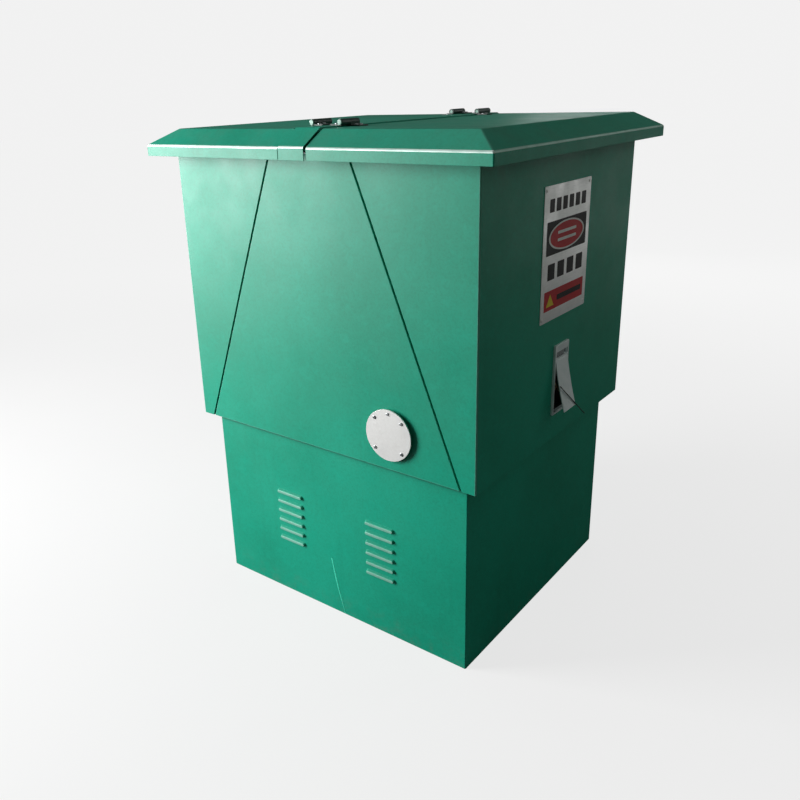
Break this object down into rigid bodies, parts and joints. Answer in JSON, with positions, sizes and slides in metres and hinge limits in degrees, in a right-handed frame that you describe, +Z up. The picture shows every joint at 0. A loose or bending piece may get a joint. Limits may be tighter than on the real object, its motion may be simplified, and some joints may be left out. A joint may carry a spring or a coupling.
{
  "type": "outdoor cable branch box",
  "caption": "Floor-standing sheet-metal cable branch box on a louvred plinth, with gull-wing doors hinged on the roof ridge, flap locks and cable connectors inside.",
  "frame": {"origin": "centre of the plinth's underside, on the ground", "axes": "-Y is the front with the round port, +X is the side with the sign plate, +Z is up"},
  "size_m": [1.012, 0.915, 1.3075],
  "materials": {
    "green_paint": "powder coat, fine orange peel",
    "zinc_cast": "die-cast zinc, grey lacquer",
    "bright_steel": "brushed stainless steel",
    "galvanised": "zinc-plated steel",
    "hinge_steel": "dark painted steel",
    "black_rubber": "EPDM rubber",
    "grey_rubber": "semiconducting silicone rubber",
    "resin": "cast epoxy resin",
    "copper": "bare copper bar",
    "brass_parts": "nickel brass",
    "black_nylon": "moulded nylon",
    "sign_metal": "printed aluminium plate"
  },
  "bodies": {
    "cabinet": {"plinth_shell": "green_paint", "sill_frame": "galvanised", "floor_plate": "galvanised", "floor_bolts": "galvanised", "cable_grommets": "black_rubber", "front_panel": "green_paint", "rear_panel": "green_paint", "port_ring": "green_paint", "port_gasket": "black_rubber", "port_cover": "bright_steel", "port_screws": "galvanised", "roof_gutter": "galvanised", "roof_spine": "green_paint", "hinge_fixed_knuckles": "hinge_steel", "hinge_pins": "bright_steel", "hinge_fixed_screws": "galvanised", "right_door_seal": "black_rubber", "left_door_seal": "black_rubber", "latch_keepers": "galvanised", "strut_anchors": "galvanised", "bushing_plate": "galvanised", "plate_brackets": "galvanised", "through_bushings": "resin", "bushing_bolts": "galvanised", "right_cable_connectors": "grey_rubber", "left_cable_connectors": "grey_rubber", "connector_end_plugs": "black_nylon", "cable_rails": "galvanised", "cable_clamps": "black_nylon", "earth_bar": "copper", "earth_insulators": "resin", "earth_bolts": "galvanised"},
    "right_door": {"right_door_shell": "green_paint", "right_roof_half": "green_paint", "right_door_ribs": "galvanised", "right_hinge_knuckles": "hinge_steel", "right_hinge_screws": "galvanised", "right_lock_frame": "zinc_cast", "right_lock_housing": "brass_parts", "right_sign_plate": "sign_metal", "right_sign_rivets": "galvanised"},
    "right_flap": {"right_lock_flap": "zinc_cast", "right_key_tie": "black_nylon"},
    "right_latch": {"right_lock_plug": "brass_parts", "right_latch_cam": "galvanised", "right_key": "brass_parts"},
    "right_strut_tube": {"right_strut_tubes": "hinge_steel"},
    "right_strut_rod": {"right_strut_rods": "bright_steel"},
    "left_door": {"left_door_shell": "green_paint", "left_roof_half": "green_paint", "left_door_ribs": "galvanised", "left_hinge_knuckles": "hinge_steel", "left_hinge_screws": "galvanised", "left_lock_frame": "zinc_cast", "left_lock_housing": "brass_parts"},
    "left_flap": {"left_lock_flap": "zinc_cast"},
    "left_latch": {"left_lock_plug": "brass_parts", "left_latch_cam": "galvanised"},
    "left_strut_tube": {"left_strut_tubes": "hinge_steel"},
    "left_strut_rod": {"left_strut_rods": "bright_steel"}
  },
  "joints": [
    {"name": "right_door_hinge", "type": "hinge", "parent": "cabinet", "child": "right_door", "pos_m": [0.042, 0, 1.3], "axis": [0, -1, 0], "range_deg": [0, 75]},
    {"name": "right_flap_hinge", "type": "hinge", "parent": "right_door", "child": "right_flap", "pos_m": [0.4524, 0, 0.7185], "axis": [0, -1, 0], "range_deg": [0, 75]},
    {"name": "right_latch_turn", "type": "hinge", "parent": "right_door", "child": "right_latch", "pos_m": [0.414, 0, 0.64], "axis": [-1, 0, 0], "range_deg": [0, 90]},
    {"name": "right_strut_pivot", "type": "hinge", "parent": "cabinet", "child": "right_strut_tube", "pos_m": [0.075, 0, 1.19], "axis": [0, -1, 0], "range_deg": [0, 75.52]},
    {"name": "right_strut_slide", "type": "slide", "parent": "right_strut_tube", "child": "right_strut_rod", "axis": [0.9244, 0, -0.3815], "range_m": [0, 0.14]},
    {"name": "left_door_hinge", "type": "hinge", "parent": "cabinet", "child": "left_door", "pos_m": [-0.042, 0, 1.3], "axis": [0, 1, 0], "range_deg": [0, 75]},
    {"name": "left_flap_hinge", "type": "hinge", "parent": "left_door", "child": "left_flap", "pos_m": [-0.4524, 0, 0.7185], "axis": [0, 1, 0], "range_deg": [0, 88]},
    {"name": "left_latch_turn", "type": "hinge", "parent": "left_door", "child": "left_latch", "pos_m": [-0.414, 0, 0.64], "axis": [-1, 0, 0], "range_deg": [0, 90]},
    {"name": "left_strut_pivot", "type": "hinge", "parent": "cabinet", "child": "left_strut_tube", "pos_m": [-0.075, 0, 1.19], "axis": [0, 1, 0], "range_deg": [0, 75.52]},
    {"name": "left_strut_slide", "type": "slide", "parent": "left_strut_tube", "child": "left_strut_rod", "axis": [-0.9244, 0, -0.3815], "range_m": [0, 0.14]}
  ],
  "couplings": [
    {"joint": "right_strut_pivot", "follows": "right_door_hinge", "ratio": 1.0063},
    {"joint": "right_strut_slide", "follows": "right_door_hinge", "m_per_rad": 0.10679},
    {"joint": "left_strut_pivot", "follows": "left_door_hinge", "ratio": 1.0063},
    {"joint": "left_strut_slide", "follows": "left_door_hinge", "m_per_rad": 0.10679}
  ]
}
